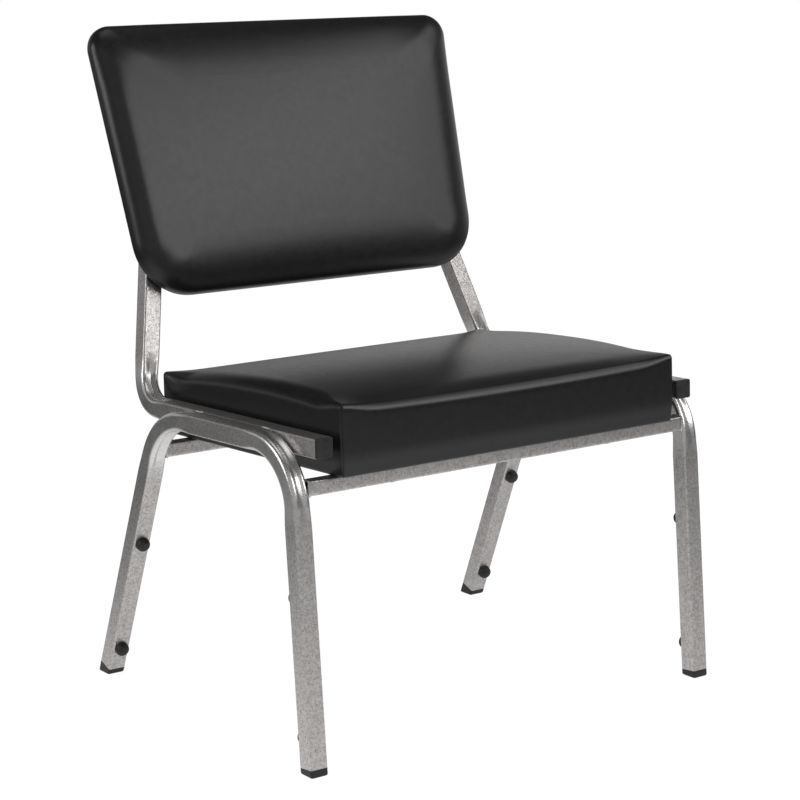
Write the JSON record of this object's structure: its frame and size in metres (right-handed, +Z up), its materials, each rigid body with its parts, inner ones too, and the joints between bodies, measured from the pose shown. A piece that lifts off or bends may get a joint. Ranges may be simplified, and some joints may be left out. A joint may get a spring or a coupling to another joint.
{
  "type": "reception chair",
  "caption": "Wide armless stacking reception chair with bent square-tube legs and uprights, a deep upholstered box seat and an upholstered back panel.",
  "frame": {"origin": "middle of the floor rectangle under the chair", "axes": "+Z up, +X to the right seen from the front, the front faces -Y"},
  "size_m": [0.669, 0.6005, 0.8901],
  "materials": {
    "silver_vein_coat": "silver-vein powder coat over steel tube, fine dark veins, half gloss",
    "black_vinyl": "black vinyl with a fine grain, half gloss",
    "black_plastic": "black moulded plastic, matte",
    "zinc_steel": "zinc-plated steel",
    "plywood": "raw plywood",
    "foam": "cut polyurethane foam",
    "dust_cloth": "thin black non-woven cloth"
  },
  "bodies": {
    "root": {"leg_frame_left": "silver_vein_coat", "leg_frame_right": "silver_vein_coat", "seat_rail_left": "silver_vein_coat", "seat_rail_right": "silver_vein_coat", "front_crossbar": "silver_vein_coat", "rear_crossbar": "silver_vein_coat", "seat_cover": "black_vinyl", "back_cover": "black_vinyl", "back_rear_panel": "black_vinyl", "seat_foam": "foam", "back_foam": "foam", "seat_board": "plywood", "back_board": "plywood", "seat_dust_cover": "dust_cloth", "rail_cap_left": "black_plastic", "rail_cap_right": "black_plastic", "upright_plug_left": "black_plastic", "upright_plug_right": "black_plastic", "glide_front_left": "black_plastic", "glide_front_right": "black_plastic", "glide_rear_left": "black_plastic", "glide_rear_right": "black_plastic", "bumper_front_left_low": "black_plastic", "bumper_front_left_high": "black_plastic", "bumper_front_right_low": "black_plastic", "bumper_front_right_high": "black_plastic", "bumper_rear_left_low": "black_plastic", "bumper_rear_left_high": "black_plastic", "bumper_rear_right_low": "black_plastic", "bumper_rear_right_high": "black_plastic", "seat_bolt_front_left": "zinc_steel", "seat_bolt_front_right": "zinc_steel", "seat_bolt_rear_left": "zinc_steel", "seat_bolt_rear_right": "zinc_steel", "seat_tnut_front_left": "zinc_steel", "seat_tnut_front_right": "zinc_steel", "seat_tnut_rear_left": "zinc_steel", "seat_tnut_rear_right": "zinc_steel", "back_bolt_left_low": "zinc_steel", "back_bolt_left_high": "zinc_steel", "back_bolt_right_low": "zinc_steel", "back_bolt_right_high": "zinc_steel", "back_tnut_left_low": "zinc_steel", "back_tnut_left_high": "zinc_steel", "back_tnut_right_low": "zinc_steel", "back_tnut_right_high": "zinc_steel"}
  },
  "joints": []
}
